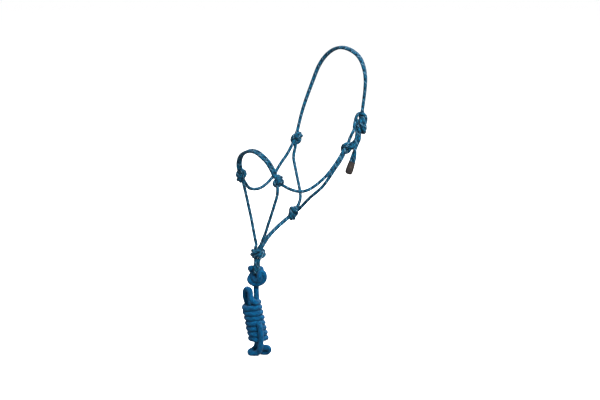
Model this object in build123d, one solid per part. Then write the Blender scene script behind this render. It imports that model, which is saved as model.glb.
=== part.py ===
from build123d import *
import os
from math import cos, radians, sin, tan

# A knotted rope halter in its worn shape, with its lead rope wound into a hank.
# Frame: x towards the horse's left, y towards its tail, z up. The origin is where the
# crown strap rests on the poll, on the strap's underside.
# Routes are written from the fiador knot, and shifted to the origin by at().

# Driving dimensions, mm
halter_cord = 8.0  # diameter of the cord that the halter is tied from
lead_cord = 14.0  # diameter of the lead rope
pair_pitch = 8.4  # between the centres of two cords that lie side by side
nose_pitch = 8.8  # the same in the noseband, where they lie a little apart
tail_pitch = 9.2  # the same in the crown tail, which twists
crown_height = 534.8  # from the fiador knot up to the underside of the crown strap
crown_behind = 289.0  # from the fiador knot back to the top of the crown strap
cheek_half_width = 107.0
nose_half_width = 75.0
knot_radius = 15.0  # two-cord overhand knots
fiador_radius = 18.0
clear = 0.4  # gap between cords and knots that move against each other

# Outer shape of the halter tie, a knot of two crown cords on the latch loop
tie_radius = 17.0
tie_half_height = 37.0

# The dark sleeve that joins the two ends of the crown tail
sleeve_width = 19.0
sleeve_depth = 11.5
sleeve_length = 35.0
sleeve_floor = 3.0
sleeve_edge = 1.2

# Lead rope: the hitch in the fiador loops, and the hank below it
hitch_turn = 50.0  # the hitch faces this many degrees left of straight ahead, as it hangs
hitch_drop = 41.0  # from the fiador knot down to the lead strand in the loops
hitch_bend = 14.0
ball_radius = 12.0
loop_offset = -3.0
hank_turns = 7
hank_radius = 27.5
hank_edge = 6.0
hank_top = (-16.0, 0.0, -136.0)
hank_tilt = 10.5  # degrees from plumb

cheek_knot = (cheek_half_width, 223.0, 285.0)
nose_knot = (nose_half_width, 4.0, 205.0)
throat_knot = (0.0, 123.0, 98.0)
fiador_knot = (0.0, 0.0, 0.0)
halter_tie = (107.0, 272.0, 339.0)

bend_radii = {}


def at(point):
    """A point measured from the fiador knot, in the part's own frame."""
    x, y, z = point
    return Vector(x, y - crown_behind, z - crown_height)


def mirrored(point):
    x, y, z = point
    return (-x, y, z)


def facing(degrees):
    """A level direction, turned left from straight ahead."""
    return Vector(sin(radians(degrees)), -cos(radians(degrees)), 0)


lead_toward = facing(hitch_turn)
lead_right = Vector(cos(radians(hitch_turn)), sin(radians(hitch_turn)), 0)


def hanging(point):
    """A point of the hanging lead: right, towards the front, and up from the fiador knot."""
    right, toward, up = point
    side = lead_right * right + lead_toward * toward
    return at((side.X, side.Y, up))


def cord_path(name, points):
    """Straight runs joined by arcs as large as the runs allow."""
    radii = []
    for before, here, after in zip(points, points[1:], points[2:]):
        run_in, run_out = here - before, after - here
        half_turn = radians(run_in.get_angle(run_out)) / 2
        radii.append(0.45 * min(run_in.length, run_out.length) / tan(half_turn))
    bend_radii[name] = radii
    return FilletPolyline(*points, radius=radii)


def cord_tube(name, points, diameter):
    """A cord of round section along the route, checked against section times length."""
    path = cord_path(name, points)
    section = Plane(origin=path @ 0, z_dir=path % 0) * Circle(diameter / 2)
    tube = sweep(section, path=path)
    share = tube.volume / (section.area * path.length)
    print(f"{name}: length {path.length:.0f}, tightest arc {min(bend_radii[name]):.1f}, volume {share:.3f}")
    return tube


def side_by_side(points, sides, pitch):
    """Two routes a pitch apart; sides are directions from one to the other, evenly along."""
    first, second = [], []
    last = len(points) - 1
    for i, point in enumerate(points):
        along = (points[min(i + 1, last)] - points[max(i - 1, 0)]).normalized()
        place = i / last * (len(sides) - 1)
        low = min(int(place), len(sides) - 2)
        side = sides[low] * (low + 1 - place) + sides[low + 1] * (place - low)
        side = (side - along * side.dot(along)).normalized()
        first.append(point + side * (pitch / 2))
        second.append(point - side * (pitch / 2))
    return first, second


def ball(centre, radius):
    return Pos(*at(centre)) * Sphere(radius)


def longest(cut_tube):
    """What a cut leaves of a tube, without the crumbs at its ends."""
    return cut_tube.solids().sort_by(SortBy.VOLUME)[-1]


def cut_back(tube, ends):
    """The tube with its ends cut back to the knots that they enter."""
    for centre, radius in ends:
        tube = tube - ball(centre, radius)
    return longest(tube)


def route(points):
    return [at(p) for p in points]


def knots():
    left, right = cheek_knot, mirrored(cheek_knot)
    tie_outline = EllipticalCenterArc((0, 0), tie_radius, tie_half_height, start_angle=-90, arc_size=180)
    tie_half = make_face(tie_outline + Line(tie_outline @ 1, tie_outline @ 0))
    tie = revolve(Plane.XZ * tie_half, axis=Axis.Z)
    return {
        "cheek_knot_left": ball(left, knot_radius),
        "cheek_knot_right": ball(right, knot_radius),
        "nose_knot_left": ball(nose_knot, knot_radius),
        "nose_knot_right": ball(mirrored(nose_knot), knot_radius),
        "throat_knot": ball(throat_knot, knot_radius),
        "fiador_knot": ball(fiador_knot, fiador_radius),
        "halter_tie": Pos(*at(halter_tie)) * tie,
    }


def crown_strap(tie):
    """Two cords from the right cheek knot, over the poll, down into the tie."""
    centre = route([
        mirrored(cheek_knot), (-114, 243, 338), (-110, 259, 386), (-97, 273, 438),
        (-75, 283, 486), (-42, 287, 522), (0, 289, 540), (44, 290, 537), (83, 292, 515),
        (107, 292, 474), (110, 289, 431), (106, 285, 396), (105, 279, 368), halter_tie,
    ])
    sides = [facing(a) for a in (50, 35, 15, 45, 50)]
    made = {}
    for name, points in zip(("front", "back"), side_by_side(centre, sides, pair_pitch)):
        tube = cord_tube(f"crown_strap_{name}", points, halter_cord)
        tube = cut_back(tube, [(mirrored(cheek_knot), knot_radius)])
        made[f"crown_strap_{name}"] = longest(tube - tie)
    return made


def latch_loop(tie):
    """The two legs of the loop from the left cheek knot up into the tie."""
    legs = {
        "front": [cheek_knot, (112, 227, 300), (114, 238, 321), (112, 256, 340)],
        "back": [cheek_knot, (108, 246, 291), (107, 259, 306), (106, 268, 327)],
    }
    made = {}
    for name, points in legs.items():
        tube = cord_tube(f"latch_loop_{name}", route(points), halter_cord)
        tube = cut_back(tube, [(cheek_knot, knot_radius)])
        made[f"latch_loop_{name}"] = longest(tube - tie)
    return made


def crown_tail():
    """The two free ends of the crown strap below the tie, held together in a sleeve."""
    centre = route([
        (117.5, 251, 300), (120, 244, 287), (122, 239, 272), (123, 234, 256),
        (122.5, 228.5, 240), (120.5, 217.8, 212),
    ])
    sides = [facing(a) for a in (140, 188, 236, 284, 320, 320)]
    first, second = side_by_side(centre, sides, tail_pitch)
    tip = (centre[-1] - centre[-2]).normalized()
    foot = Plane(origin=centre[-1] + tip * sleeve_floor, x_dir=first[-1] - second[-1], z_dir=-tip)
    sleeve = extrude(foot * SlotOverall(sleeve_width, sleeve_depth), amount=sleeve_length)
    sleeve = fillet(sleeve.edges().filter_by(GeomType.CIRCLE), sleeve_edge)
    made = {}
    for name, points in (("front", first), ("back", second)):
        tube = cord_tube(f"crown_tail_{name}", points, halter_cord)
        made[f"crown_tail_{name}"] = tube
        sleeve = sleeve - tube
    made["tail_sleeve"] = sleeve
    return made


def cheek_pieces():
    left = [
        cheek_knot, (112, 210, 270), (112, 196, 252), (109, 176, 229), (103, 146, 203),
        (95, 105, 177), (89, 73, 172), (84, 43, 181), (80, 20, 194), nose_knot,
    ]
    right = [
        mirrored(cheek_knot), (-109, 209, 263), (-106, 190, 241), (-101, 160, 216),
        (-95, 129, 186), (-88, 86, 165), (-84, 53, 164), (-80, 28, 174), mirrored(nose_knot),
    ]
    return strap_ends("cheek_piece", left, right, nose_knot, knot_radius)


def throat_latches():
    left = [
        cheek_knot, (102, 215, 267), (101, 204, 249), (98, 186, 226), (90, 175, 200),
        (76, 161, 173), (50, 142, 145), (26, 134, 120), (11, 130, 106), throat_knot,
    ]
    right = [
        mirrored(cheek_knot), (-106, 221, 260), (-101, 209, 236), (-85, 201, 212),
        (-58, 187, 183), (-32, 174, 154), (-16, 163, 132), (-6, 144, 113), throat_knot,
    ]
    return strap_ends("throat_latch", left, right, throat_knot, knot_radius)


def chin_strands():
    left = [
        nose_knot, (79, 5, 177), (63, 7, 143), (50, 7, 114), (37, 5, 83), (25, 4, 55),
        (11, 2, 28), fiador_knot,
    ]
    right = [
        mirrored(nose_knot), (-68, 8, 174), (-61, 11, 144), (-48, 10, 111), (-36, 8, 84),
        (-23, 5, 52), (-10, 2, 25), fiador_knot,
    ]
    return strap_ends("chin_strand", left, right, fiador_knot, fiador_radius)


def strap_ends(name, left, right, end, end_radius):
    """Left and right single cords; the gap is kept where they swing on a cheek knot."""
    made = {}
    for side, points in (("left", left), ("right", right)):
        tube = cord_tube(f"{name}_{side}", route(points), halter_cord)
        swings = points[0] in (cheek_knot, mirrored(cheek_knot))
        last = end if side == "left" else mirrored(end)
        ends = [(points[0], knot_radius + clear * swings), (last, end_radius)]
        made[f"{name}_{side}"] = cut_back(tube, ends)
    return made


def jaw_strands():
    """The two cords from the throat knot down to the fiador knot, side by side."""
    centre = route([
        throat_knot, (0, 104, 86), (0, 80, 73), (0, 55, 57), (0, 34, 41), (0, 18, 23), fiador_knot,
    ])
    made = {}
    pair = side_by_side(centre, [Vector(1, -0.15, 0.25)] * 2, pair_pitch)
    for name, points in zip(("left", "right"), pair):
        tube = cord_tube(f"jaw_strand_{name}", points, halter_cord)
        ends = [(throat_knot, knot_radius), (fiador_knot, fiador_radius)]
        made[f"jaw_strand_{name}"] = cut_back(tube, ends)
    return made


def noseband():
    """Two cords that arch over the nose, from nose knot to nose knot."""
    centre = route([
        mirrored(nose_knot), (-85, 4, 226), (-79, 1, 248), (-62, -5, 263), (-39, -10, 273),
        (-13, -15, 280), (14, -15, 279), (33, -13, 270), (49, -9, 258), (60, -3, 240),
        (67, 2, 222), nose_knot,
    ])
    along_nose = Vector(0, -0.97, -0.24)
    made = {}
    pair = side_by_side(centre, [along_nose] * 2, nose_pitch)
    ends = [(mirrored(nose_knot), knot_radius + clear), (nose_knot, knot_radius + clear)]
    for name, points in zip(("front", "back"), pair):
        tube = cord_tube(f"noseband_{name}", points, halter_cord)
        made[f"noseband_{name}"] = cut_back(tube, ends)
    return made


def fiador_loops():
    """Two loops side by side below the fiador knot, round the strand of the lead."""
    half = lead_cord / 2 + halter_cord / 2 + clear
    low = -hitch_drop - half
    made = {}
    for name, side in (("left", 1), ("right", -1)):
        right = loop_offset + side * pair_pitch / 2
        points = [
            hanging(p) for p in (
                (right, 4.5, -12), (right, half, -31), (right, half, low),
                (right, -half, low), (right, -half, -31), (right, -4.5, -12),
            )
        ]
        tube = cord_tube(f"fiador_loop_{name}", points, halter_cord)
        made[f"fiador_loop_{name}"] = cut_back(tube, [(fiador_knot, fiador_radius + clear)])
    return made


def lead_hitch():
    """The outer shape of the hitch: a ring of rope through the loops, with a fat front bight."""
    left, right, low = -21.0, 16.0, -78.0
    corners = [(left, -hitch_drop), (right, -hitch_drop), (right, low), (left, low)]
    ring_plane = Plane(origin=hanging((0, 0, 0)), x_dir=lead_right, z_dir=lead_toward)
    outline = ring_plane * FilletPolyline(*corners, radius=hitch_bend, close=True)
    section = Plane(origin=outline @ 0, z_dir=outline % 0) * Circle(lead_cord / 2)
    ring = sweep(section, path=outline)
    bight = Pos(*hanging((11.5, 13, -65.5))) * Sphere(ball_radius)
    return ring + bight


def lead_standing():
    """The plumb length of rope between the hitch and the hank."""
    points = [hanging(p) for p in ((-4, 0, -76), (-5, 0, -96), (-5, 0, -117), (-3, 0, -138))]
    return cord_tube("lead_standing", points, lead_cord)


def lead_hank():
    """The outer shape of the hank: the wraps, the bight above and the two bights below."""
    down = lead_right * sin(radians(hank_tilt)) - Vector(0, 0, cos(radians(hank_tilt)))
    length = hank_turns * lead_cord + 3
    top = Plane(origin=hanging(hank_top), x_dir=lead_toward, z_dir=down)
    barrel = extrude(top * Circle(hank_radius), amount=length)
    barrel = fillet(barrel.edges(), hank_edge)
    bights = {
        "hank_top_bight": (
            (-27, -16, -150), (-30, -14, -127), (-30, -8, -108), (-26, 5, -101),
            (-22, 15, -113), (-14, 20, -127), (0, 21, -135), (12, 17, -140),
        ),
        "hank_left_bight": (
            (-8, -8, -232), (-18, -9, -250), (-25, 2, -265), (-13, 16, -270),
            (2, 25, -257), (7, 30, -237), (5, 32, -214), (2, 27, -192),
        ),
        "hank_right_bight": (
            (6, 4, -232), (20, 6, -250), (30, 1, -265), (24, -11, -269), (11, -13, -254),
            (4, -10, -234),
        ),
    }
    for name, points in bights.items():
        barrel = barrel + cord_tube(name, [hanging(p) for p in points], lead_cord)
    return barrel


def main():
    parts = knots()
    tie = parts["halter_tie"]
    parts |= crown_strap(tie) | latch_loop(tie) | crown_tail()
    parts |= cheek_pieces() | throat_latches() | chin_strands() | jaw_strands()
    parts |= noseband() | fiador_loops()
    parts["lead_hitch"] = lead_hitch()
    parts["lead_hank"] = lead_hank()
    parts["lead_standing"] = longest(lead_standing() - parts["lead_hitch"] - parts["lead_hank"])
    os.makedirs("parts", exist_ok=True)
    for node, shape in parts.items():
        export_step(shape, f"parts/{node}.step")
    for name, radii in bend_radii.items():
        print(name, "arc radii", [round(r) for r in radii])


main()
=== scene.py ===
from math import cos, pi, radians, sin

import bpy
import numpy as np
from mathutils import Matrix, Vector


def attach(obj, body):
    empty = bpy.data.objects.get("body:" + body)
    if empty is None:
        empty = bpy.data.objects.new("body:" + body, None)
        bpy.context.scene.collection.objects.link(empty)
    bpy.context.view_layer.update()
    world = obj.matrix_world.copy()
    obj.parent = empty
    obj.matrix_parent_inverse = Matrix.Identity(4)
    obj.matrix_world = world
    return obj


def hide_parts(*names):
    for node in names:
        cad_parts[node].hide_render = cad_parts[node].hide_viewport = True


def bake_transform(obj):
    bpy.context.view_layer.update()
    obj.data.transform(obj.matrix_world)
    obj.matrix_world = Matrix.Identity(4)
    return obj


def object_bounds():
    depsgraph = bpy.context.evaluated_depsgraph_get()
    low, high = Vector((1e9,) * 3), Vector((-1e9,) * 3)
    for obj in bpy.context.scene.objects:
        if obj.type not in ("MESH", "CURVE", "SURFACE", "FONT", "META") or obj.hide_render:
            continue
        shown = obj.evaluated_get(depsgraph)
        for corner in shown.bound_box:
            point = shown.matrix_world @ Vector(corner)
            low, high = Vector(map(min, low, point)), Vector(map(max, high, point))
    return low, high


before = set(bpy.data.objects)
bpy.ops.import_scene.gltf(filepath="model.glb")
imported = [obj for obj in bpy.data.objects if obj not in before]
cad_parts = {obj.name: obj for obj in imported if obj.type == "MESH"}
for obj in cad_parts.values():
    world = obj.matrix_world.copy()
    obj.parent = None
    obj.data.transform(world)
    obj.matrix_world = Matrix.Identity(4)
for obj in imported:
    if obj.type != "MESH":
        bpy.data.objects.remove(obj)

# A knotted rope halter: every strand is one braided cord that runs through real knots.
# Routes are in millimetres from the fiador knot, as in the CAD: x left, y back, z up.
cad_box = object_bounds()

halter_cord = 8.0
halter_braid = {"around": 32, "step": 0.8, "yarns": 8, "pitch": 3.1, "depth": 0.75}
lead_cord = 14.0
lead_braid = {"around": 60, "step": 1.1, "yarns": 12, "pitch": 4.3, "depth": 0.9}
pair_pitch = 8.4
nose_pitch = 8.8
tail_pitch = 8.6
crown_height = 534.8
crown_behind = 289.0

cheek_knot = np.array([107.0, 223.0, 285.0])
nose_knot = np.array([75.0, 4.0, 205.0])
throat_knot = np.array([0.0, 123.0, 98.0])
fiador_knot = np.zeros(3)
halter_tie = np.array([107.0, 272.0, 339.0])
other_side = np.array([-1.0, 1.0, 1.0])


def in_frame(points):
    """Row-frame metres of points in millimetres from the fiador knot."""
    return (np.asarray(points, float) - (0, crown_behind, crown_height)) / 1000


def unit(vector):
    return np.asarray(vector, float) / np.linalg.norm(vector)


def facing(degrees):
    return np.array([sin(radians(degrees)), -cos(radians(degrees)), 0])


view_turn, view_rise = 50.0, 8.9
lead_toward = facing(view_turn)
lead_right = np.array([cos(radians(view_turn)), sin(radians(view_turn)), 0])
view_back = lead_toward * cos(radians(view_rise)) + np.array([0, 0, sin(radians(view_rise))])
view_up = np.cross(view_back, lead_right)


def hanging(points):
    """Right, towards the front, and up, from the fiador knot."""
    return np.array([lead_right * r + lead_toward * t + (0, 0, u) for r, t, u in points])


def around_tie(points):
    """Right, up and outwards from the halter tie, as its flat side faces."""
    return np.array([halter_tie + lead_right * r + view_up * u + view_back * b for r, u, b in points])


# Lines ----------------------------------------------------------------------------------


def spline_line(points):
    """Close points along the NURBS spline that has these control points."""
    data = bpy.data.curves.new("route", "CURVE")
    data.dimensions = "3D"
    data.resolution_u = 16
    spline = data.splines.new("NURBS")
    spline.points.add(len(points) - 1)
    for control, place in zip(spline.points, points):
        control.co = (*place, 1)
    spline.order_u = 3
    spline.use_endpoint_u = True
    holder = bpy.data.objects.new("route", data)
    mesh = bpy.data.meshes.new_from_object(holder)
    line = np.array([v.co for v in mesh.vertices], float)
    bpy.data.objects.remove(holder)
    bpy.data.curves.remove(data)
    bpy.data.meshes.remove(mesh)
    return line


def drawn_out(points):
    """Control points moved out so far that the spline bends as wide as the points do."""
    points = np.asarray([np.asarray(p, float) for p in points])
    moved = points.copy()
    moved[1:-1] += 0.2 * (points[1:-1] - (points[:-2] + points[2:]) / 2)
    return moved


def run_lengths(line):
    return np.concatenate([[0], np.cumsum(np.linalg.norm(np.diff(line, axis=0), axis=1))])


def evenly(line, step):
    """The line in equal steps of about that length, its ends kept."""
    along = run_lengths(line)
    places = np.linspace(0, along[-1], max(2, round(along[-1] / step) + 1))
    return np.stack([np.interp(places, along, line[:, i]) for i in range(3)], axis=1)


def between(line, start=None, end=None):
    """The part of the line outside a ball at its start and a ball at its end."""
    first, last = 0, len(line) - 1
    if start is not None:
        first = int(np.argmax(np.linalg.norm(line - start[0], axis=1) > start[1]))
    if end is not None:
        outside = np.linalg.norm(line - end[0], axis=1) > end[1]
        last -= int(np.argmax(outside[::-1]))
    return line[first:last + 1]


def side_by_side(points, sides, pitch):
    """Two routes a pitch apart; sides are directions from one to the other, evenly along."""
    points, sides = np.asarray(points, float), [np.asarray(s, float) for s in sides]
    first, second = [], []
    last = len(points) - 1
    for i, point in enumerate(points):
        along = unit(points[min(i + 1, last)] - points[max(i - 1, 0)])
        place = i / last * (len(sides) - 1)
        low = min(int(place), len(sides) - 2)
        side = sides[low] * (low + 1 - place) + sides[low + 1] * (place - low)
        side = unit(side - along * side.dot(along))
        first.append(point + side * (pitch / 2))
        second.append(point - side * (pitch / 2))
    return np.array(first), np.array(second)


# Knots ----------------------------------------------------------------------------------

link = 3.1  # distance between the points of a strand while its knot is drawn tight
squeeze = 0.94  # how near two tight strands lie, in diameters


def settle(strands, rounds, tighten=1.0, stiff=0.25):
    """Strands pushed apart where they touch and drawn tight; two points at each end stay."""
    sizes = np.array([len(s) for s in strands])
    points = np.concatenate(strands)
    strand = np.repeat(np.arange(len(sizes)), sizes)
    index = np.concatenate([np.arange(n) for n in sizes])
    free = ((index > 1) & (index < sizes[strand] - 2)).astype(float)[:, None]
    links = np.flatnonzero(strand[1:] == strand[:-1])
    inner = links[1:][np.diff(links) == 1]
    rest = np.concatenate([np.full(len(s) - 1, run_lengths(s)[-1] / (len(s) - 1)) for s in strands])
    may_touch = np.triu((strand[:, None] != strand) | (np.abs(index[:, None] - index) > 3), 1)
    spacing = squeeze * halter_cord
    for turn in range(rounds):
        if turn % 10 == 0:
            near = ((points[:, None] - points) ** 2).sum(axis=2) < (1.7 * halter_cord) ** 2
            one, two = np.nonzero(may_touch & near)
        middle = (points[inner - 1] + points[inner + 1]) / 2
        points[inner] += stiff * free[inner] * (middle - points[inner])
        for half in (0, 1, 0, 1):
            i = links[half::2]
            reach = points[i + 1] - points[i]
            length = np.sqrt((reach * reach).sum(axis=1))
            share = (free[i] + free[i + 1] + 1e-9)[:, 0]
            pull = reach * ((1 - rest[half::2] / length) / share)[:, None]
            points[i] += pull * free[i]
            points[i + 1] -= pull * free[i + 1]
        gap = points[one] - points[two]
        distance = np.sqrt((gap * gap).sum(axis=1)) + 1e-6
        overlap = np.clip(spacing - distance, 0, None)
        push = gap * (0.28 * overlap / distance)[:, None]
        for axis in range(3):
            first, second = (np.bincount(side, push[:, axis], len(points)) for side in (one, two))
            points[:, axis] += (first - second) * free[:, 0]
        if overlap.max(initial=0) < 0.12 * spacing:
            rest = rest * tighten
    return np.split(points, np.cumsum(sizes)[:-1])


def overhand():
    """Two strands tied together in one overhand knot, drawn tight; the ends lie along x."""
    turn = np.linspace(pi + 0.62, 3 * pi - 0.62, 60)
    scale, rise = 9.0, 6.5
    curve = np.stack([
        scale * (np.sin(turn) + 2 * np.sin(2 * turn)),
        scale * (np.cos(turn) - 2 * np.cos(2 * turn)),
        -rise * np.sin(3 * turn),
    ], axis=1)
    lead_in = np.array([[70, -30, 0], [45, -30, 0], [24, -28, 0]])
    middle = np.concatenate([lead_in, curve, (lead_in * (-1, 1, 1))[::-1]])
    middle = evenly(middle, link * 1.25)
    tangent = np.gradient(middle, axis=0)
    flat = np.stack([-tangent[:, 1], tangent[:, 0], 0 * tangent[:, 0]], axis=1)
    flat /= np.linalg.norm(flat, axis=1, keepdims=True)
    pair = [middle + flat * halter_cord / 2, middle - flat * halter_cord / 2]
    return settle(pair, 2600, tighten=0.9975, stiff=0.12)


def bound(strands, centre, into, out):
    """The tight overhand knot turned to fit its cords. into and out are two ends each."""
    half_length = 17  # of the drawn knot is kept on each side of its centre
    ends = [np.array([into[k][0], out[k][0]]) for k in (0, 1)]
    ahead = unit(out[0][0] + out[1][0] - into[0][0] - into[1][0])
    side = unit(np.cross(ahead, (0.3, 0.5, 0.8)))
    best = None
    for turn in np.arange(0, 2 * pi, pi / 12):
        axis = side * cos(turn) + np.cross(ahead, side) * sin(turn)
        spin = np.array([ahead, axis, np.cross(ahead, axis)])
        for pair in (strands, strands[::-1]):
            placed = [(s[::-1] + (0, 15, 0)) @ spin + centre for s in pair]
            kept = [p[np.abs((p - centre) @ ahead) < half_length] for p in placed]
            cost = sum(((k[[0, -1]] - e) ** 2).sum() for k, e in zip(kept, ends))
            if best is None or cost < best[0]:
                best = cost, kept
    whole = []
    for k, kept in enumerate(best[1]):
        near = [np.array([end[0], end[0] + end[1] * link]) for end in (into[k], out[k])]
        whole.append(evenly(np.concatenate([near[0], kept, near[1][::-1]]), link))
    return settle(whole, 320, tighten=0.9985, stiff=0.15)


def fiador(into, out):
    """Four strands that each go down through the middle, round the outside, and down again."""
    course = [
        (9, 0, 13), (9, 0, 3), (9.5, 3, -5), (13, 25, -10.5), (16.3, 60, -8), (16.5, 100, -2.5),
        (16.5, 140, 3), (15.5, 180, 8.5), (12, 212, 11.5), (9, 230, 6), (9, 230, -4), (9, 230, -14),
    ]
    strands = []
    for k, start in enumerate((-45, 45, 135, 225)):
        middle = [
            (r * cos(radians(start + turn)), r * sin(radians(start + turn)), up)
            for r, turn, up in course
        ]
        first, last = into[k], out[k]
        line = [first[0], first[0] + first[1] * link, *middle, last[0] + last[1] * link, last[0]]
        strands.append(evenly(np.array(line), link))
    return settle(strands, 300, stiff=0.15)


def sheet_bend(crown, tail, latch):
    """The halter tie: the crown's two cords go through the latch loop, round it and down."""
    loop = [
        (-18, -6, 14), (-15, 4, 9), (-13, 16, 6), (-9, 27, 6), (-1, 33, 6), (9, 29, 4),
        (15, 19, 1), (15.5, 8, -1), (11, -4, -2), (5, -14, -3), (-4, -23, -3),
    ]
    wrap = [
        (5, 36, -6), (4.5, 27, -4), (4.5, 18, 2), (5, 9, 8), (6, 1, 11), (10, -8, 11), (12.5, -16, 4),
        (8, -19, -8), (1, -10, -14), (-5, 0, -14), (-8, 8, -9), (-9, 7, -1), (-8, -3, 3), (-6.5, -14, 6),
        (-5, -24, 9), (-6.5, -33, 12),
    ]
    across, out, up = lead_right, view_back, view_up
    sides = [
        out, out + across, across, across, across, across + up, up, up, up, up, up, up + out, out,
        out + across, across, across,
    ]
    pair = side_by_side(around_tie(wrap), sides, pair_pitch)
    middles = [*pair, around_tie(loop)]
    ends = [(crown[0], tail[0]), (crown[1], tail[1]), latch]
    strands = []
    for middle, (first, last) in zip(middles, ends):
        line = [first[0], first[0] + first[1] * link, *middle, last[0] + last[1] * link, last[0]]
        strands.append(evenly(np.array(line), link))
    return settle(strands, 300, stiff=0.15)


# The halter's straps --------------------------------------------------------------------


def straps():
    """Each strap's centreline, cut off where it goes into its knots."""
    into = {  # each knot's centre, and how far from it a strap ends
        "cheek": (cheek_knot, 20), "nose": (nose_knot, 20), "throat": (throat_knot, 20),
        "far_cheek": (cheek_knot * other_side, 20), "far_nose": (nose_knot * other_side, 20),
        "fiador": (fiador_knot, 26), "tie": (halter_tie, 42), "tie_foot": (halter_tie, 33),
    }
    made = {}

    def single(name, start, end, points):
        made[name] = between(spline_line(drawn_out(points)), into[start], into[end])

    def double(name, start, end, points, sides, pitch, labels=("front", "back")):
        for label, route in zip(labels, side_by_side(points, sides, pitch)):
            single(f"{name}_{label}", start, end, route)

    crown = [
        cheek_knot * other_side, (-113, 244, 338), (-109, 260, 386), (-96, 274, 438),
        (-76, 282, 487), (-42, 287, 522), (0, 289, 539), (44, 290, 536), (83, 292, 516),
        (106, 290, 474), (108, 287, 431), (105, 284, 396), (105, 279, 368), halter_tie,
    ]
    crown_sides = [facing(a) for a in (50, 35, 15, 45, 50)]
    double("crown_strap", "far_cheek", "tie", crown, crown_sides, pair_pitch)
    single("latch_loop_front", "cheek", "tie_foot", [
        cheek_knot, (112, 227, 300), (114, 238, 321), (112, 256, 340),
    ])
    single("latch_loop_back", "cheek", "tie_foot", [
        cheek_knot, (108, 246, 291), (107, 259, 306), (106, 268, 327),
    ])
    single("cheek_piece_left", "cheek", "nose", [
        cheek_knot, (110, 208, 272), (110, 194, 254), (108, 174, 231), (103, 146, 203),
        (95, 105, 177), (89, 73, 172), (84, 43, 181), (80, 20, 194), nose_knot,
    ])
    single("cheek_piece_right", "far_cheek", "far_nose", [
        cheek_knot * other_side, (-109, 209, 263), (-106, 190, 241), (-101, 160, 216),
        (-95, 129, 184), (-88, 86, 162), (-84, 53, 161), (-80, 28, 171), nose_knot * other_side,
    ])
    single("throat_latch_left", "cheek", "throat", [
        cheek_knot, (104, 217, 265), (103, 206, 247), (99, 188, 224), (90, 175, 200),
        (76, 161, 173), (50, 142, 145), (26, 134, 120), (11, 130, 106), throat_knot,
    ])
    single("throat_latch_right", "far_cheek", "throat", [
        cheek_knot * other_side, (-106, 221, 260), (-101, 209, 236), (-85, 201, 212),
        (-58, 187, 183), (-32, 174, 154), (-16, 163, 132), (-6, 144, 113), throat_knot,
    ])
    single("chin_strand_left", "nose", "fiador", [
        nose_knot, (79, 5, 177), (63, 7, 143), (50, 7, 114), (37, 5, 83), (25, 4, 55),
        (11, 2, 28), fiador_knot,
    ])
    single("chin_strand_right", "far_nose", "fiador", [
        nose_knot * other_side, (-68, 8, 174), (-61, 11, 144), (-48, 10, 111), (-36, 8, 84),
        (-23, 5, 52), (-10, 2, 25), fiador_knot,
    ])
    jaw = [
        throat_knot, (0, 104, 86), (0, 80, 73), (0, 55, 57), (0, 34, 41), (0, 18, 23), fiador_knot,
    ]
    double("jaw_strand", "throat", "fiador", jaw, [(1, -0.15, 0.25)] * 2, pair_pitch, ("left", "right"))
    nose = [
        nose_knot * other_side, (-85, 4, 226), (-79, 1, 248), (-62, -5, 263), (-39, -10, 273),
        (-13, -15, 280), (14, -15, 279), (34, -12, 269), (50, -8, 257), (61, -2, 239),
        (68, 3, 221), nose_knot,
    ]
    double("noseband", "far_nose", "nose", nose, [(0, -0.97, -0.24)] * 2, nose_pitch)
    half = lead_cord / 2 + halter_cord / 2 + 0.4
    low = -41 - half
    for label, side in (("left", 1), ("right", -1)):
        right = -3.0 + side * pair_pitch / 2
        single(f"fiador_loop_{label}", "fiador", "fiador", hanging([
            (right, 4.5, -12), (right, half, -31), (right, half, low),
            (right, -half, low), (right, -half, -31), (right, -4.5, -12),
        ]))
    tail = [
        (118, 252, 300), (120, 244, 287), (122, 239, 272), (123, 234, 256),
        (122.5, 228.5, 240), (120.5, 217.8, 212),
    ]
    tail_sides = [facing(a) for a in (140, 188, 236, 284, 320, 320)]
    for label, route in zip(("front", "back"), side_by_side(tail, tail_sides, tail_pitch)):
        made[f"crown_tail_{label}"] = spline_line(route)
    return {name: evenly(line, link) for name, line in made.items()}


def cut_end(line, which):
    """A strap's first or last point, and the direction in which it goes on past it."""
    if which == 0:
        return line[0], unit(line[0] - line[1])
    return line[-1], unit(line[-1] - line[-2])


def nearest_end(line, point):
    return 0 if np.linalg.norm(line[0] - point) < np.linalg.norm(line[-1] - point) else -1


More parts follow.
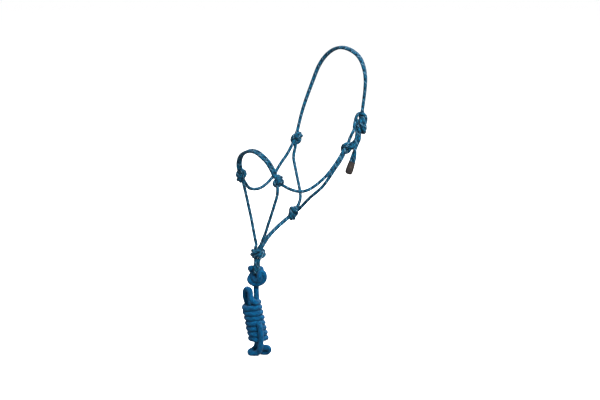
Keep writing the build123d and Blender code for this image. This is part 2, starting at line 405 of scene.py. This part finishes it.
def whole_cord():
    """The one cord of the halter, as (piece, points) from one tail end to the other."""
    strap = straps()
    tight = overhand()
    far_cheek, far_nose = cheek_knot * other_side, nose_knot * other_side

    def end(name, place):
        return cut_end(strap[name], nearest_end(strap[name], place))

    def tied(centre, into, out):
        ends = [[end(name, centre) for name in names] for names in (into, out)]
        return bound(tight, centre, *ends)

    far_cheek_knot = tied(far_cheek, ("cheek_piece_right", "throat_latch_right"),
                          ("crown_strap_front", "crown_strap_back"))
    near_cheek_knot = tied(cheek_knot, ("cheek_piece_left", "throat_latch_left"),
                           ("latch_loop_front", "latch_loop_back"))
    far_nose_knot = tied(far_nose + (1.7, 2, 0), ("cheek_piece_right", "chin_strand_right"),
                         ("noseband_front", "noseband_back"))
    near_nose_knot = tied(nose_knot + (0, 0, -1.5), ("cheek_piece_left", "chin_strand_left"),
                          ("noseband_front", "noseband_back"))
    throat = tied(throat_knot + (-1.5, -2, 0), ("throat_latch_left", "throat_latch_right"),
                  ("jaw_strand_left", "jaw_strand_right"))
    into = [end(name, fiador_knot) for name in
            ("chin_strand_left", "jaw_strand_left", "jaw_strand_right", "chin_strand_right")]
    loop_left, loop_right = strap["fiador_loop_left"], strap["fiador_loop_right"]
    out = [cut_end(loop_right, -1), cut_end(loop_right, 0), cut_end(loop_left, 0), cut_end(loop_left, -1)]
    low = fiador(into, out)
    crown = [end(f"crown_strap_{label}", halter_tie) for label in ("front", "back")]
    tail = [cut_end(strap[f"crown_tail_{label}"], 0) for label in ("front", "back")]
    latch = [end(f"latch_loop_{label}", halter_tie) for label in ("front", "back")]
    tie = sheet_bend(crown, tail, latch)
    order = [
        ("crown_tail_front", None), ("halter_tie", tie[0]), ("crown_strap_front", None),
        ("cheek_knot_right", far_cheek_knot[0]), ("cheek_piece_right", None),
        ("nose_knot_right", far_nose_knot[0]), ("noseband_front", None),
        ("nose_knot_left", near_nose_knot[0]), ("cheek_piece_left", None),
        ("cheek_knot_left", near_cheek_knot[0]), ("latch_loop_front", None),
        ("halter_tie", tie[2]), ("latch_loop_back", None),
        ("cheek_knot_left", near_cheek_knot[1]), ("throat_latch_left", None),
        ("throat_knot", throat[0]), ("jaw_strand_left", None),
        ("fiador_knot", low[1]), ("fiador_loop_right", None),
        ("fiador_knot", low[0]), ("chin_strand_left", None),
        ("nose_knot_left", near_nose_knot[1]), ("noseband_back", None),
        ("nose_knot_right", far_nose_knot[1]), ("chin_strand_right", None),
        ("fiador_knot", low[3]), ("fiador_loop_left", None),
        ("fiador_knot", low[2]), ("jaw_strand_right", None),
        ("throat_knot", throat[1]), ("throat_latch_right", None),
        ("cheek_knot_right", far_cheek_knot[1]), ("crown_strap_back", None),
        ("halter_tie", tie[1]), ("crown_tail_back", None),
    ]
    here = strap["crown_tail_front"][-1]
    pieces = []
    for name, points in order:
        points = strap[name] if points is None else points
        if nearest_end(points, here) == -1:
            points = points[::-1]
        pieces.append((name, points))
        here = points[-1]
    return pieces


# Meshes ---------------------------------------------------------------------------------


def smooth_rings(pieces, step):
    """Even ring centres along the whole cord, and where on them each piece starts and ends."""
    line = np.concatenate([points if i == 0 else points[1:] for i, (_, points) in enumerate(pieces)])
    joins = np.cumsum([0] + [len(points) - 1 for _, points in pieces])
    padded = np.concatenate([[2 * line[0] - line[1]], line, [2 * line[-1] - line[-2]]])
    t = (np.arange(6) / 6)[:, None, None]
    a, b, c, d = padded[:-3], padded[1:-2], padded[2:-1], padded[3:]
    blend = ((1 - t) ** 3 * a + (3 * t ** 3 - 6 * t ** 2 + 4) * b
             + (-3 * t ** 3 + 3 * t ** 2 + 3 * t + 1) * c + t ** 3 * d) / 6
    dense = np.concatenate([blend.transpose(1, 0, 2).reshape(-1, 3), line[-1:]])
    along = run_lengths(dense)
    count = round(along[-1] / step)
    places = np.linspace(0, along[-1], count + 1)
    rings = np.stack([np.interp(places, along, dense[:, i]) for i in range(3)], axis=1)
    marks = [round(along[min(6 * j, len(along) - 1)] / along[-1] * count) for j in joins]
    return rings, marks


def untwisted(rings):
    """A sideways direction at each ring that turns no more than the line does."""
    tangents = np.gradient(rings, axis=0)
    tangents /= np.linalg.norm(tangents, axis=1, keepdims=True)
    side = unit(np.cross(tangents[0], (0.3, 0.5, 0.81)))
    sides = []
    for tangent in tangents:
        side = side - tangent * side.dot(tangent)
        side = side / np.sqrt(side.dot(side))
        sides.append(side)
    sides = np.array(sides)
    return sides, np.cross(tangents, sides)


def braid_height(across, along):
    """Height, 0 to 1, of a plain braid of two families of yarns, over and under in turn."""
    a, b = across + along, across - along
    over = (np.floor(a) + np.floor(b)) % 2 == 0
    fa, fb = a % 1, b % 1
    width, length = np.where(over, fa, fb), np.where(over, fb, fa)
    return np.sqrt(1 - (2 * width - 1) ** 2) * (0.6 + 0.4 * np.sin(pi * length))


def braid(rings, sides, ups, start, diameter, around, step, yarns, pitch, depth):
    """Mesh of a braided cord from its ring number start on; its map holds yarns around and along."""
    count = len(rings)
    turn = np.arange(around) / around
    along = (start + np.arange(count)) * step / pitch
    height = braid_height(yarns * turn[None], along[:, None])
    radius = diameter / 2 + depth * height
    cosine, sine = (wave(2 * pi * turn)[None, :, None] for wave in (np.cos, np.sin))
    spoke = sides[:, None] * cosine + ups[:, None] * sine
    shell = rings[:, None] + spoke * radius[:, :, None]
    coords = np.concatenate([shell.reshape(-1, 3), rings[:1], rings[-1:]])
    i, j = np.meshgrid(np.arange(count - 1), np.arange(around), indexing="ij")
    after = (j + 1) % around
    this, next_ring = i * around, (i + 1) * around
    quads = np.stack([this + j, this + after, next_ring + after, next_ring + j], axis=-1)
    quads = quads.reshape(-1, 4)
    j = np.arange(around)
    last, centres = (count - 1) * around, count * around
    caps = np.concatenate([
        np.stack([(j + 1) % around, j, np.full(around, centres)], axis=1),
        np.stack([last + j, last + (j + 1) % around, np.full(around, centres + 1)], axis=1),
    ])
    map_around = np.stack([yarns * (k + j) / around for k in (0, 1, 1, 0)], axis=-1)
    map_along = np.stack([along[:-1], along[:-1], along[1:], along[1:]], axis=-1)
    quad_map = np.stack([
        map_around[None].repeat(count - 1, 0), map_along[:, None].repeat(around, 1),
    ], axis=-1).reshape(-1, 2)
    cap_map = np.zeros((len(caps) * 3, 2))
    cap_map[:, 1] = np.repeat([along[0], along[-1]], around * 3)
    return coords, quads, caps, np.concatenate([quad_map, cap_map])


def mesh_object(name, shells):
    """One object from several braided shells, in millimetres from the fiador knot."""
    coords, loops, starts, totals, uvs = [], [], [], [], []
    base = corner = 0
    for points, quads, caps, uv in shells:
        coords.append(in_frame(points))
        for faces in (quads, caps):
            loops.append((faces + base).ravel())
            starts.append(corner + np.arange(len(faces)) * faces.shape[1])
            totals.append(np.full(len(faces), faces.shape[1]))
            corner += faces.size
        uvs.append(uv)
        base += len(points)
    coords, loops, starts = np.concatenate(coords), np.concatenate(loops), np.concatenate(starts)
    mesh = bpy.data.meshes.new(name)
    mesh.vertices.add(len(coords))
    mesh.vertices.foreach_set("co", coords.ravel())
    mesh.loops.add(len(loops))
    mesh.loops.foreach_set("vertex_index", loops)
    mesh.polygons.add(len(starts))
    mesh.polygons.foreach_set("loop_start", starts)
    mesh.polygons.foreach_set("loop_total", np.concatenate(totals))
    mesh.uv_layers.new(name="Braid").data.foreach_set("uv", np.concatenate(uvs).ravel())
    mesh.update()
    mesh.validate()
    mesh.shade_smooth()
    made = bpy.data.objects.new(name, mesh)
    bpy.context.scene.collection.objects.link(made)
    return made


def halter_pieces():
    """Every piece of the halter's cord, cut from one braid so that its yarns run on."""
    pieces = whole_cord()
    rings, marks = smooth_rings(pieces, halter_braid["step"])
    sides, ups = untwisted(rings)
    shells, lines = {}, {}
    for (name, _), first, last in zip(pieces, marks, marks[1:]):
        part = slice(first, last + 1)
        shell = braid(rings[part], sides[part], ups[part], first, halter_cord, **halter_braid)
        shells.setdefault(name, []).append(shell)
        lines[name] = rings[part]
    return {name: mesh_object(f"cord_{name}", parts) for name, parts in shells.items()}, lines


# Materials ------------------------------------------------------------------------------


def linear(red, green, blue):
    """A display colour, 0 to 255, as the shader's own linear values."""
    values = [c / 255 for c in (red, green, blue)]
    return tuple(c / 12.92 if c <= 0.04045 else ((c + 0.055) / 1.055) ** 2.4 for c in values) + (1,)


class Nodes:
    """A short way to write a material's nodes."""

    def __init__(self, name):
        self.material = bpy.data.materials.new(name)
        self.material.use_nodes = True
        self.tree = self.material.node_tree
        self.shader = self.tree.nodes["Principled BSDF"]

    def add(self, kind, **settings):
        node = self.tree.nodes.new(kind)
        for key, value in settings.items():
            setattr(node, key, value)
        return node

    def join(self, source, target):
        self.tree.links.new(source, target)

    def math(self, operation, *terms):
        node = self.add("ShaderNodeMath", operation=operation)
        for socket, term in zip(node.inputs, terms):
            if isinstance(term, (int, float)):
                socket.default_value = term
            else:
                self.join(term, socket)
        return node.outputs[0]

    def mix(self, share, first, second):
        node = self.add("ShaderNodeMix", data_type="RGBA")
        for socket, term in ((node.inputs[0], share), (node.inputs[6], first), (node.inputs[7], second)):
            if hasattr(term, "is_linked"):
                self.join(term, socket)
            else:
                socket.default_value = term
        return node.outputs[2]

    def ramp(self, value, stops, interpolation="LINEAR"):
        node = self.add("ShaderNodeValToRGB")
        node.color_ramp.interpolation = interpolation
        while len(node.color_ramp.elements) < len(stops):
            node.color_ramp.elements.new(0.5)
        for element, (place, colour) in zip(node.color_ramp.elements, stops):
            element.position, element.color = place, colour
        self.join(value, node.inputs[0])
        return node.outputs[0]

    def noise(self, scale, detail=3.0):
        place = self.add("ShaderNodeTexCoord").outputs["Object"]
        node = self.add("ShaderNodeTexNoise")
        node.inputs["Scale"].default_value = scale
        node.inputs["Detail"].default_value = detail
        self.join(place, node.inputs["Vector"])
        return node.outputs["Fac"]

    def bump(self, height, distance, strength=0.6):
        node = self.add("ShaderNodeBump")
        node.inputs["Strength"].default_value = strength
        node.inputs["Distance"].default_value = distance
        self.join(height, node.inputs["Height"])
        self.join(node.outputs[0], self.shader.inputs["Normal"])

    def finish(self, **sockets):
        for name, value in sockets.items():
            self.shader.inputs[name.replace("_", " ")].default_value = value
        return self.material


def cord_material(name, yarns, colours, shadow, fibre):
    """Braided yarns of several colours, with painted shade: each yarn goes to the shadow colour at its
    edges, in the grooves between yarns.

    A yarn runs one way round (row_a) or the other (row_b), and takes its colour from its row.
    """
    m = Nodes(name)
    place = m.add("ShaderNodeSeparateXYZ")
    m.join(m.add("ShaderNodeUVMap", uv_map="Braid").outputs[0], place.inputs[0])
    a = m.math("ADD", place.outputs[0], place.outputs[1])
    b = m.math("SUBTRACT", place.outputs[0], place.outputs[1])
    row_a, row_b = m.math("FLOOR", a), m.math("FLOOR", b)
    under = m.math("FLOORED_MODULO", m.math("ADD", row_a, row_b), 2)
    over = m.math("SUBTRACT", 1, under)
    across_a, across_b = m.math("FRACT", a), m.math("FRACT", b)

    def chosen(first, second):
        return m.math("ADD", m.math("MULTIPLY", first, over), m.math("MULTIPLY", second, under))

    yarn = chosen(m.math("FLOORED_MODULO", row_a, yarns),
                  m.math("ADD", m.math("FLOORED_MODULO", row_b, yarns), yarns))
    across = chosen(across_a, across_b)
    along = chosen(across_b, across_a)
    pick = m.math("DIVIDE", m.math("ADD", yarn, 0.5), 2 * yarns)
    share = 1 / len(colours)
    tint = m.ramp(pick, [(i * share, colour) for i, colour in enumerate(colours)], "CONSTANT")
    worn = m.ramp(m.noise(90), [(0.3, (0.46, 0.46, 0.46, 1)), (0.7, (0.82, 0.82, 0.82, 1))])
    shade = m.add("ShaderNodeMix", data_type="RGBA", blend_type="MULTIPLY")
    shade.inputs[0].default_value = 1
    m.join(tint, shade.inputs[6])
    m.join(worn, shade.inputs[7])
    # painted shade: each yarn darkens to the shadow colour towards its edges, in the grooves between
    # yarns; crown, the yarn's height, also drives the bump
    edge = m.math("ABSOLUTE", m.math("SUBTRACT", m.math("MULTIPLY", across, 2), 1))
    crown = m.math("SUBTRACT", 1, m.math("POWER", edge, 3))
    m.join(m.mix(crown, shadow, shade.outputs[2]), m.shader.inputs["Base Color"])
    twist = m.math("ADD", m.math("MULTIPLY", across, fibre), m.math("MULTIPLY", along, 1.2))
    filament = m.math("MULTIPLY", m.math("SINE", m.math("MULTIPLY", twist, 2 * pi)), 0.3)
    fuzz = m.math("MULTIPLY", m.noise(2600, 2.0), 0.8)
    m.bump(m.math("ADD", m.math("ADD", filament, fuzz), crown), 0.0004)
    return m.finish(Roughness=0.75, Specular_IOR_Level=0.15, Specular_Tint=(0.3, 0.7, 1, 1),
                    Sheen_Weight=0.03, Sheen_Roughness=0.4)


def halter_material():
    blue, deep = linear(8, 70, 100), linear(3, 42, 66)
    navy, teal, pale = linear(2, 4, 12), linear(20, 92, 120), linear(100, 138, 160)
    colours = [
        blue, navy, deep, blue, teal, blue, deep, pale, blue, deep, navy, blue, teal, deep, blue, navy,
    ]
    # linear(1, 8, 16) is the painted shade colour in the grooves between the halter cord's yarns
    return cord_material("halter_cord_braid", halter_braid["yarns"], colours, linear(1, 8, 16), 5)


def lead_material():
    blue, deep, light = linear(0, 68, 110), linear(0, 54, 92), linear(1, 82, 122)
    colours = [blue, light, blue, deep, blue, blue, light, deep] * 3
    # linear(0, 12, 24) is the painted shade colour in the grooves between the lead rope's yarns
    return cord_material("lead_rope_braid", lead_braid["yarns"], colours, linear(0, 12, 24), 7)


def sleeve_material():
    m = Nodes("sleeve_rubber")
    tone = m.ramp(m.noise(140, 5), [
        (0.3, linear(10, 8, 8)), (0.55, linear(24, 20, 19)), (0.72, linear(48, 42, 38)),
    ])
    m.join(tone, m.shader.inputs["Base Color"])
    m.bump(m.noise(700, 6), 0.0006, 0.8)
    return m.finish(Roughness=0.7, Specular_IOR_Level=0.12)


def paint(piece, material):
    """Gives the whole piece one material."""
    piece.data.materials.clear()
    piece.data.materials.append(material)


# The other pieces -----------------------------------------------------------------------


def tail_sleeve(lines):
    """A shrunk sleeve over the two tail ends: waisted between them, rolled at its mouth."""
    tails = [lines["crown_tail_front"], lines["crown_tail_back"]]
    front, back = (tail[::-1] if nearest_end(tail, halter_tie) == 0 else tail for tail in tails)
    tip = unit((front[0] + back[0]) - (front[8] + back[8]))
    foot = (front[0] + back[0]) / 2 + tip * 3
    width = unit(front[0] - back[0])
    depth = np.cross(tip, width)
    around, rows = 72, []
    heights = np.concatenate([9 * (1 - np.cos(np.linspace(0, pi / 2, 14))), np.linspace(9.6, 32.5, 40)])
    for height in heights:
        rounding = max(0.0, 1 - max(0, 1 - height / 9) ** 2.2) ** 0.5
        shrink = (0.34 + 0.66 * rounding) * (1 - 0.13 * max(0, (height - 16) / 17) ** 2)
        wrinkle = 0.16 * sin(height * 1.9) + 0.1 * sin(height * 4.3 + 1)
        rows.append((height, 10.4 * shrink + 0.1 * wrinkle, 6.3 * shrink, wrinkle))
    rows += [
        (33.6, 9.4, 5.9, 0), (34.6, 9.4, 5.9, 0), (35.0, 9.0, 5.5, 0), (34.6, 8.5, 4.9, 0),
        (28, 8.0, 4.3, 0),
    ]
    turn = 2 * pi * np.arange(around) / around
    shells = []
    for height, half_width, half_depth, wrinkle in rows:
        across = np.sign(np.cos(turn)) * np.abs(np.cos(turn)) ** 0.8 * half_width
        waist = 1 - 0.16 * np.exp(-(across / 2.6) ** 2) * min(1, height / 8)
        out = np.sign(np.sin(turn)) * np.abs(np.sin(turn)) ** 0.75 * half_depth * waist
        out = out + wrinkle * 0.35 * np.sin(3 * turn + height * 0.4)
        shells.append(foot - tip * height + width * across[:, None] + depth * out[:, None])
    coords = np.concatenate([*shells, [foot + tip * 0.1]])
    count = len(rows)
    faces = []
    for i in range(count - 1):
        this, next_row = i * around, (i + 1) * around
        for j in range(around):
            after = (j + 1) % around
            faces.append((this + j, this + after, next_row + after, next_row + j))
    faces += [((j + 1) % around, j, count * around) for j in range(around)]
    mesh = bpy.data.meshes.new("tail_sleeve_shell")
    mesh.from_pydata(in_frame(coords).tolist(), [], faces)
    mesh.update()
    mesh.shade_smooth()
    made = bpy.data.objects.new("tail_sleeve_shell", mesh)
    bpy.context.scene.collection.objects.link(made)
    return made


def lead_route():
    """The lead rope from its tucked end, through the fiador loops, to the end of its hank."""
    hitch = [
        (-11, -7, -50), (-13, -5, -58), (-12, 2, -67), (-6, 10, -71), (1, 18, -71), (5.5, 21, -66),
        (3.5, 21, -56), (7, 20.5, -48), (14, 19, -48), (17.5, 17, -57), (17, 14, -69), (8, 12, -79),
        (-5, 9, -82), (-16, 4, -81), (-24.5, -3, -73), (-20, -11, -65), (-14, -16, -56),
        (-19, -11, -46), (-22.5, -2, -40), (-14, 0, -39.5), (-4, 0, -40), (4, 0, -40.5),
        (9, -5, -43), (8, -14, -50), (2, -18, -61), (-3, -16, -74), (-5, -8, -89), (-5, -1, -104),
        (-4, 1, -121), (-3, 3, -138),
    ]
    core_down = [(0, 6, -165), (4, 6, -195), (3, 7, -222)]
    right_bight = [
        (1, 6, -242), (4, 6, -253), (15, 6, -257), (26, 5, -257), (30, 1, -264), (27, -4, -271),
        (17, -5, -275), (8, -5, -271), (3, -7, -258),
    ]
    core_up = [(2, -8, -240), (-1, -8, -205), (-8, -9, -172), (-20, -12, -152)]
    top_bight = [
        (-31, -12, -136), (-35.5, -11, -117), (-35, -5, -102), (-29, 4, -95), (-22, 11, -98.5),
        (-20.5, 16, -107), (-20, 19.5, -116), (-15.5, 22, -126), (-5, 22.5, -131.5),
    ]
    tilt = radians(11.2)
    barrel_top, down = np.array([-18.2, 0, -136]), np.array([sin(tilt), 0, -cos(tilt)])
    sideways, radius = np.array([cos(tilt), 0, sin(tilt)]), 21.6
    first, last, barrel_length = 25.0, -2650.0, 107
    pressed_in = 3.5  # where the end of the rope lies over the wraps
    wraps, wrap_steps = [], 92
    for k in range(1, wrap_steps):
        degrees = first + (last - first) * k / wrap_steps
        depth = -0.5 + barrel_length * k / wrap_steps + 0.7 * sin(0.9 * k)
        covered = depth > 38 and abs((degrees - 65 + 180) % 360 - 180) < 25
        across = (radius + 0.6 * sin(1.7 * k)) * cos(radians(degrees))
        out = radius * sin(radians(degrees)) - (pressed_in if covered else 0)
        wraps.append(tuple(barrel_top + down * depth + sideways * across + np.array([0, out, 0])))
    left_bight = [
        (-3, -15, -247), (-6, -12, -260), (-14, -8, -266.5), (-22, -2, -268.5), (-22, 6, -272.5),
        (-13, 10, -274), (-4, 13, -272), (3, 18, -265), (7, 23, -253),
    ]
    over_wraps = [(8, 26, -238), (8, 28.5, -222), (7, 29.5, -207), (5, 27, -193), (1, 21, -185)]
    return hanging(hitch + core_down + right_bight + core_up + top_bight + wraps + left_bight + over_wraps)


def lead_rope():
    rings = evenly(spline_line(lead_route()), lead_braid["step"])
    sides, ups = untwisted(rings)
    return mesh_object("lead_rope", [braid(rings, sides, ups, 0, lead_cord, **lead_braid)]), rings


# Scene ----------------------------------------------------------------------------------


def camera():
    """A long lens, at the halter's own height."""
    aim_right, aim_up = 113.4, 144.45
    distance, seen_width, sensor = 9.0, 1.62, 36
    aim = Vector(in_frame(lead_right * aim_right + view_up * aim_up))
    data = bpy.data.cameras.new("camera")
    data.sensor_width = sensor
    data.lens = sensor * distance / seen_width
    data.clip_end = 100
    made = bpy.data.objects.new("camera", data)
    made.location = aim + Vector(view_back) * distance
    made.rotation_euler = (-Vector(view_back)).to_track_quat("-Z", "Y").to_euler()
    bpy.context.scene.collection.objects.link(made)
    bpy.context.scene.camera = made


def soft_light(name, place, size, watts):
    """A square light in metres that faces the middle of the halter."""
    data = bpy.data.lights.new(name, "AREA")
    data.energy, data.size = watts, size
    made = bpy.data.objects.new(name, data)
    made.location = place
    aim = Vector((0, -0.15, -0.3)) - Vector(place)
    made.rotation_euler = aim.to_track_quat("-Z", "Y").to_euler()
    bpy.context.scene.collection.objects.link(made)


def studio():
    """A white world, four soft lights, and a paper floor that throws no light on the cords."""
    world = bpy.data.worlds.new("studio")
    world.use_nodes = True
    background = world.node_tree.nodes["Background"]
    background.inputs["Color"].default_value = (1, 1, 1, 1)
    background.inputs["Strength"].default_value = 1.0
    bpy.context.scene.world = world
    soft_light("key_light", (3.2, -0.7, 2.0), 1.4, 520)
    soft_light("fill_light", (-1.6, -2.6, 1.2), 2.0, 35)
    soft_light("top_light", (0.2, 0.4, 2.8), 1.4, 120)
    soft_light("back_light", (-0.6, 3.0, 1.6), 1.8, 190)
    m = Nodes("floor_paper")
    m.finish(Base_Color=(0.93, 0.93, 0.93, 1), Roughness=0.9)
    low = cad_box[0][2] - 0.004
    mesh = bpy.data.meshes.new("floor")
    mesh.from_pydata([(x, y, low) for x, y in ((-9, -9), (9, -9), (9, 9), (-9, 9))], [], [(0, 1, 2, 3)])
    mesh.materials.append(m.material)
    floor = bpy.data.objects.new("floor", mesh)
    bpy.context.scene.collection.objects.link(floor)
    floor.visible_diffuse = False
    floor.visible_glossy = False


bpy.context.scene.view_settings.view_transform = "Standard"
camera()

rope, rope_rings = lead_rope()
paint(rope, lead_material())
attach(rope, "lead")
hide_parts("lead_hitch", "lead_standing", "lead_hank")

cords, lines = halter_pieces()
sleeve = tail_sleeve(lines)
paint(sleeve, sleeve_material())
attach(sleeve, "crown_tail")
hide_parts("tail_sleeve")

halter = halter_material()
rides = {
    "crown": ["crown_strap_front", "crown_strap_back", "halter_tie", "latch_loop_front",
              "latch_loop_back", "cheek_knot_left", "cheek_knot_right"],
    "nose_part": ["nose_knot_left", "nose_knot_right", "throat_knot", "fiador_knot",
                  "jaw_strand_left", "jaw_strand_right", "chin_strand_left", "chin_strand_right"],
}
for body, names in rides.items():
    for name in names:
        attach(cords[name], body)
for side, sign in (("left", 1), ("right", -1)):
    for name in (f"cheek_piece_{side}", f"throat_latch_{side}"):
        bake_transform(cords[name])
    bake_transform(cords[f"fiador_loop_{side}"])
for label in ("front", "back"):
    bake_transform(cords[f"noseband_{label}"])
    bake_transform(cords[f"crown_tail_{label}"])
for name, piece in cords.items():
    paint(piece, halter)
    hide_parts(name)
for label in ("front", "back"):
    name = f"crown_tail_{label}"
    tail = in_frame(lines[name])
    if tail[0][2] < tail[-1][2]:
        tail = tail[::-1]

studio()
